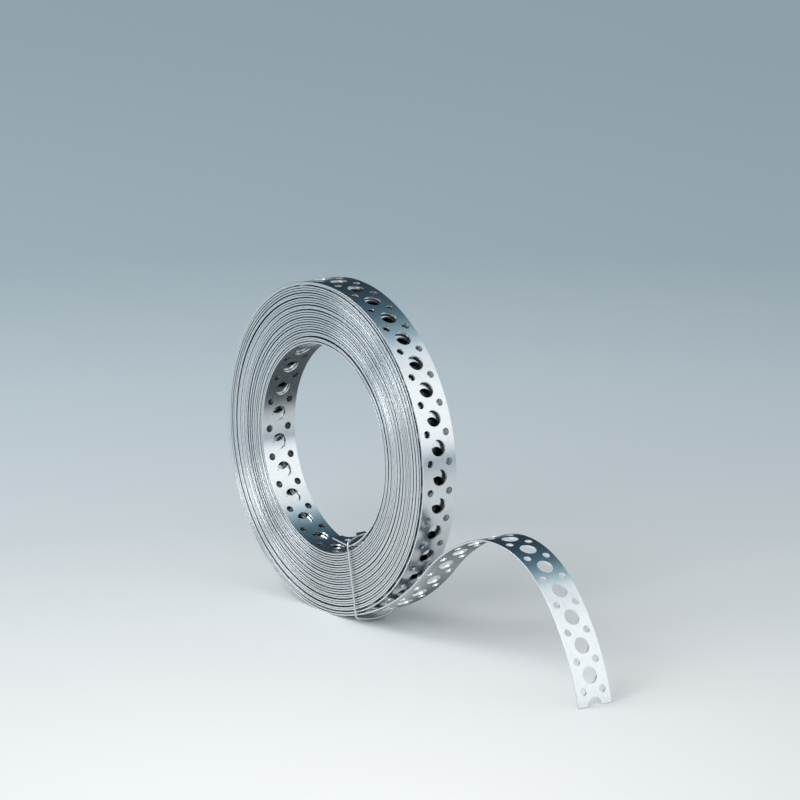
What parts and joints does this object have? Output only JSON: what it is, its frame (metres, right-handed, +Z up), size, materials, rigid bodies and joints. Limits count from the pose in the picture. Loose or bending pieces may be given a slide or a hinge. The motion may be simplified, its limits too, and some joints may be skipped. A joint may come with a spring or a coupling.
{
  "type": "perforated steel strap coil",
  "caption": "Coil of perforated galvanised steel strap standing on its rim, its free end arched out to the floor, held by a loop of tie wire",
  "frame": {"origin": "On the floor, at the middle of the overall length and width", "axes": "+X from the coil towards its free end, +Y along the coil's axis, +Z up"},
  "size_m": [0.2498, 0.0198, 0.1433],
  "materials": {
    "galvanised_strap": "bright zinc-coated cold-rolled strip with sheared edges",
    "steel_wire": "bright drawn wire"
  },
  "bodies": {
    "root": {"coil": "galvanised_strap", "free_end": "galvanised_strap", "tie_wire": "steel_wire"}
  },
  "joints": []
}
